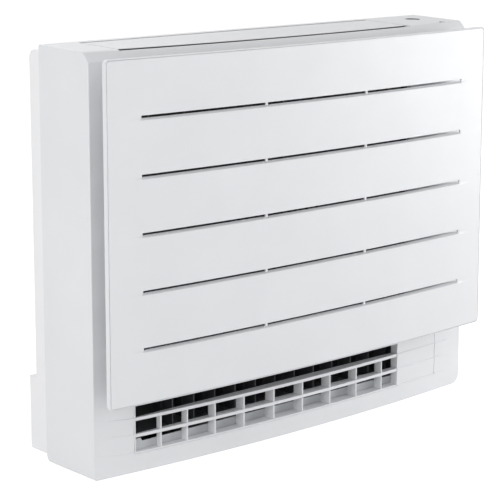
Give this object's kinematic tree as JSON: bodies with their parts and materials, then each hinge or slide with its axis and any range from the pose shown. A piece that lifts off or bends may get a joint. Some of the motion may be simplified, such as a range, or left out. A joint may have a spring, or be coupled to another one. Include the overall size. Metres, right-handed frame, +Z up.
{
  "type": "floor standing air conditioner",
  "caption": "Low console air conditioner with a bowed slotted front panel on hinges, a top outlet flap, a ribbed lower outlet and a working fan, vanes and damper inside.",
  "frame": {"origin": "middle of the bounding box, on the floor", "axes": "+Z up, the front panel faces -Y, +Y points at the room wall, +X to the right seen from the front"},
  "size_m": [0.75, 0.238, 0.6],
  "materials": {
    "white_shell": "satin white moulded plastic",
    "white_frame": "matt white moulded plastic",
    "grey_duct": "matt dark grey plastic",
    "pale_grey": "matt light grey plastic",
    "dark_vane": "satin dark grey plastic",
    "filter_dark": "dark grey frame with fine mesh",
    "fin_aluminium": "thin bare fins",
    "zinc_steel": "zinc plated sheet",
    "copper": "drawn copper tube",
    "brass_nut": "machined brass",
    "circuit_green": "coated circuit board",
    "terminal_black": "black moulded plastic",
    "smoked_lens": "glossy smoked plastic"
  },
  "bodies": {
    "unit": {"air_filter_left": "filter_dark", "air_filter_right": "filter_dark", "bellmouth": "grey_duct", "casing_screws": "zinc_steel", "coil_end_plate_left": "zinc_steel", "coil_end_plate_right": "zinc_steel", "coil_fins": "fin_aluminium", "coil_return_bends": "copper", "control_board": "circuit_green", "damper_motor": "zinc_steel", "deodorising_filter": "grey_duct", "display_board": "circuit_green", "drain_pan": "pale_grey", "drain_socket": "pale_grey", "electrical_box": "zinc_steel", "electrical_box_cover": "zinc_steel", "fan_motor": "zinc_steel", "flare_nuts": "brass_nut", "front_casing": "white_shell", "gas_pipe": "copper", "indicator_lens": "smoked_lens", "liquid_pipe": "copper", "lower_duct": "grey_duct", "lower_grille": "white_shell", "motor_bracket": "zinc_steel", "outlet_sill": "pale_grey", "rear_frame": "white_frame", "terminal_block": "terminal_black", "top_flap_motor": "zinc_steel", "upper_duct": "grey_duct", "wall_plate": "zinc_steel"},
    "panel": {"front_panel": "white_shell"},
    "latch_left": {"panel_latch_left": "white_shell"},
    "latch_right": {"panel_latch_right": "white_shell"},
    "flap": {"top_flap": "white_shell"},
    "button": {"power_button": "white_shell"},
    "fan": {"fan_impeller": "pale_grey", "fan_shaft": "zinc_steel"},
    "damper": {"lower_damper": "pale_grey"},
    "lower_link": {"lower_tie_bar": "pale_grey"},
    "upper_link": {"upper_tie_bar": "pale_grey"},
    "lower_vane_01": {"lower_vane_01": "dark_vane"},
    "lower_vane_02": {"lower_vane_02": "dark_vane"},
    "lower_vane_03": {"lower_vane_03": "dark_vane"},
    "lower_vane_04": {"lower_vane_04": "dark_vane"},
    "lower_vane_05": {"lower_vane_05": "dark_vane"},
    "lower_vane_06": {"lower_vane_06": "dark_vane"},
    "lower_vane_07": {"lower_vane_07": "dark_vane"},
    "lower_vane_08": {"lower_vane_08": "dark_vane"},
    "lower_vane_09": {"lower_vane_09": "dark_vane"},
    "lower_vane_10": {"lower_vane_10": "dark_vane"},
    "lower_vane_11": {"lower_vane_11": "dark_vane"},
    "lower_vane_12": {"lower_vane_12": "dark_vane"},
    "upper_vane_01": {"upper_vane_01": "dark_vane"},
    "upper_vane_02": {"upper_vane_02": "dark_vane"},
    "upper_vane_03": {"upper_vane_03": "dark_vane"},
    "upper_vane_04": {"upper_vane_04": "dark_vane"},
    "upper_vane_05": {"upper_vane_05": "dark_vane"},
    "upper_vane_06": {"upper_vane_06": "dark_vane"},
    "upper_vane_07": {"upper_vane_07": "dark_vane"}
  },
  "joints": [
    {"name": "panel_tilt", "type": "hinge", "parent": "unit", "child": "panel", "pos_m": [0, -0.092, 0.128], "axis": [1, 0, 0], "range_deg": [0, 30]},
    {"name": "latch_left_slide", "type": "slide", "parent": "panel", "child": "latch_left", "axis": [1, 0, 0], "range_m": [0, 0.008]},
    {"name": "latch_right_slide", "type": "slide", "parent": "panel", "child": "latch_right", "axis": [-1, 0, 0], "range_m": [0, 0.008]},
    {"name": "flap_tilt", "type": "hinge", "parent": "unit", "child": "flap", "pos_m": [0, 0.022, 0.584], "axis": [-1, 0, 0], "range_deg": [0, 70]},
    {"name": "button_press", "type": "slide", "parent": "unit", "child": "button", "axis": [0, 0, -1], "range_m": [0, 0.001], "stiffness_N_per_m": 1500},
    {"name": "fan_spin", "type": "hinge", "parent": "unit", "child": "fan", "pos_m": [-0.035, 0, 0.335], "axis": [0, 1, 0], "continuous": true},
    {"name": "damper_turn", "type": "hinge", "parent": "unit", "child": "damper", "pos_m": [0, 0.036, 0.108], "axis": [1, 0, 0], "range_deg": [0, 90]},
    {"name": "lower_vane_01_swing", "type": "hinge", "parent": "unit", "child": "lower_vane_01", "pos_m": [-0.22, -0.022, 0.074], "axis": [0, 0, 1], "range_deg": [-30, 30]},
    {"name": "lower_vane_02_swing", "type": "hinge", "parent": "unit", "child": "lower_vane_02", "pos_m": [-0.18, -0.022, 0.074], "axis": [0, 0, 1], "range_deg": [-30, 30]},
    {"name": "lower_vane_03_swing", "type": "hinge", "parent": "unit", "child": "lower_vane_03", "pos_m": [-0.14, -0.022, 0.074], "axis": [0, 0, 1], "range_deg": [-30, 30]},
    {"name": "lower_vane_04_swing", "type": "hinge", "parent": "unit", "child": "lower_vane_04", "pos_m": [-0.1, -0.022, 0.074], "axis": [0, 0, 1], "range_deg": [-30, 30]},
    {"name": "lower_vane_05_swing", "type": "hinge", "parent": "unit", "child": "lower_vane_05", "pos_m": [-0.06, -0.022, 0.074], "axis": [0, 0, 1], "range_deg": [-30, 30]},
    {"name": "lower_vane_06_swing", "type": "hinge", "parent": "unit", "child": "lower_vane_06", "pos_m": [-0.02, -0.022, 0.074], "axis": [0, 0, 1], "range_deg": [-30, 30]},
    {"name": "lower_vane_07_swing", "type": "hinge", "parent": "unit", "child": "lower_vane_07", "pos_m": [0.02, -0.022, 0.074], "axis": [0, 0, 1], "range_deg": [-30, 30]},
    {"name": "lower_vane_08_swing", "type": "hinge", "parent": "unit", "child": "lower_vane_08", "pos_m": [0.06, -0.022, 0.074], "axis": [0, 0, 1], "range_deg": [-30, 30]},
    {"name": "lower_vane_09_swing", "type": "hinge", "parent": "unit", "child": "lower_vane_09", "pos_m": [0.1, -0.022, 0.074], "axis": [0, 0, 1], "range_deg": [-30, 30]},
    {"name": "lower_vane_10_swing", "type": "hinge", "parent": "unit", "child": "lower_vane_10", "pos_m": [0.14, -0.022, 0.074], "axis": [0, 0, 1], "range_deg": [-30, 30]},
    {"name": "lower_vane_11_swing", "type": "hinge", "parent": "unit", "child": "lower_vane_11", "pos_m": [0.18, -0.022, 0.074], "axis": [0, 0, 1], "range_deg": [-30, 30]},
    {"name": "lower_vane_12_swing", "type": "hinge", "parent": "unit", "child": "lower_vane_12", "pos_m": [0.22, -0.022, 0.074], "axis": [0, 0, 1], "range_deg": [-30, 30]},
    {"name": "lower_link_pivot", "type": "hinge", "parent": "lower_vane_01", "child": "lower_link", "pos_m": [-0.22, -0.01, 0.074], "axis": [0, 0, 1], "range_deg": [-30, 30]},
    {"name": "upper_vane_01_swing", "type": "hinge", "parent": "unit", "child": "upper_vane_01", "pos_m": [-0.271, 0, 0.548], "axis": [0, 1, 0], "range_deg": [-30, 30]},
    {"name": "upper_vane_02_swing", "type": "hinge", "parent": "unit", "child": "upper_vane_02", "pos_m": [-0.194, 0, 0.548], "axis": [0, 1, 0], "range_deg": [-30, 30]},
    {"name": "upper_vane_03_swing", "type": "hinge", "parent": "unit", "child": "upper_vane_03", "pos_m": [-0.117, 0, 0.548], "axis": [0, 1, 0], "range_deg": [-30, 30]},
    {"name": "upper_vane_04_swing", "type": "hinge", "parent": "unit", "child": "upper_vane_04", "pos_m": [-0.04, 0, 0.548], "axis": [0, 1, 0], "range_deg": [-30, 30]},
    {"name": "upper_vane_05_swing", "type": "hinge", "parent": "unit", "child": "upper_vane_05", "pos_m": [0.037, 0, 0.548], "axis": [0, 1, 0], "range_deg": [-30, 30]},
    {"name": "upper_vane_06_swing", "type": "hinge", "parent": "unit", "child": "upper_vane_06", "pos_m": [0.114, 0, 0.548], "axis": [0, 1, 0], "range_deg": [-30, 30]},
    {"name": "upper_vane_07_swing", "type": "hinge", "parent": "unit", "child": "upper_vane_07", "pos_m": [0.191, 0, 0.548], "axis": [0, 1, 0], "range_deg": [-30, 30]},
    {"name": "upper_link_pivot", "type": "hinge", "parent": "upper_vane_01", "child": "upper_link", "pos_m": [-0.271, 0.02, 0.541], "axis": [0, 1, 0], "range_deg": [-30, 30]}
  ],
  "couplings": [
    {"joint": "lower_vane_02_swing", "follows": "lower_vane_01_swing", "ratio": 1},
    {"joint": "lower_vane_03_swing", "follows": "lower_vane_01_swing", "ratio": 1},
    {"joint": "lower_vane_04_swing", "follows": "lower_vane_01_swing", "ratio": 1},
    {"joint": "lower_vane_05_swing", "follows": "lower_vane_01_swing", "ratio": 1},
    {"joint": "lower_vane_06_swing", "follows": "lower_vane_01_swing", "ratio": 1},
    {"joint": "lower_vane_07_swing", "follows": "lower_vane_01_swing", "ratio": 1},
    {"joint": "lower_vane_08_swing", "follows": "lower_vane_01_swing", "ratio": 1},
    {"joint": "lower_vane_09_swing", "follows": "lower_vane_01_swing", "ratio": 1},
    {"joint": "lower_vane_10_swing", "follows": "lower_vane_01_swing", "ratio": 1},
    {"joint": "lower_vane_11_swing", "follows": "lower_vane_01_swing", "ratio": 1},
    {"joint": "lower_vane_12_swing", "follows": "lower_vane_01_swing", "ratio": 1},
    {"joint": "lower_link_pivot", "follows": "lower_vane_01_swing", "ratio": -1},
    {"joint": "upper_vane_02_swing", "follows": "upper_vane_01_swing", "ratio": 1},
    {"joint": "upper_vane_03_swing", "follows": "upper_vane_01_swing", "ratio": 1},
    {"joint": "upper_vane_04_swing", "follows": "upper_vane_01_swing", "ratio": 1},
    {"joint": "upper_vane_05_swing", "follows": "upper_vane_01_swing", "ratio": 1},
    {"joint": "upper_vane_06_swing", "follows": "upper_vane_01_swing", "ratio": 1},
    {"joint": "upper_vane_07_swing", "follows": "upper_vane_01_swing", "ratio": 1},
    {"joint": "upper_link_pivot", "follows": "upper_vane_01_swing", "ratio": -1}
  ]
}
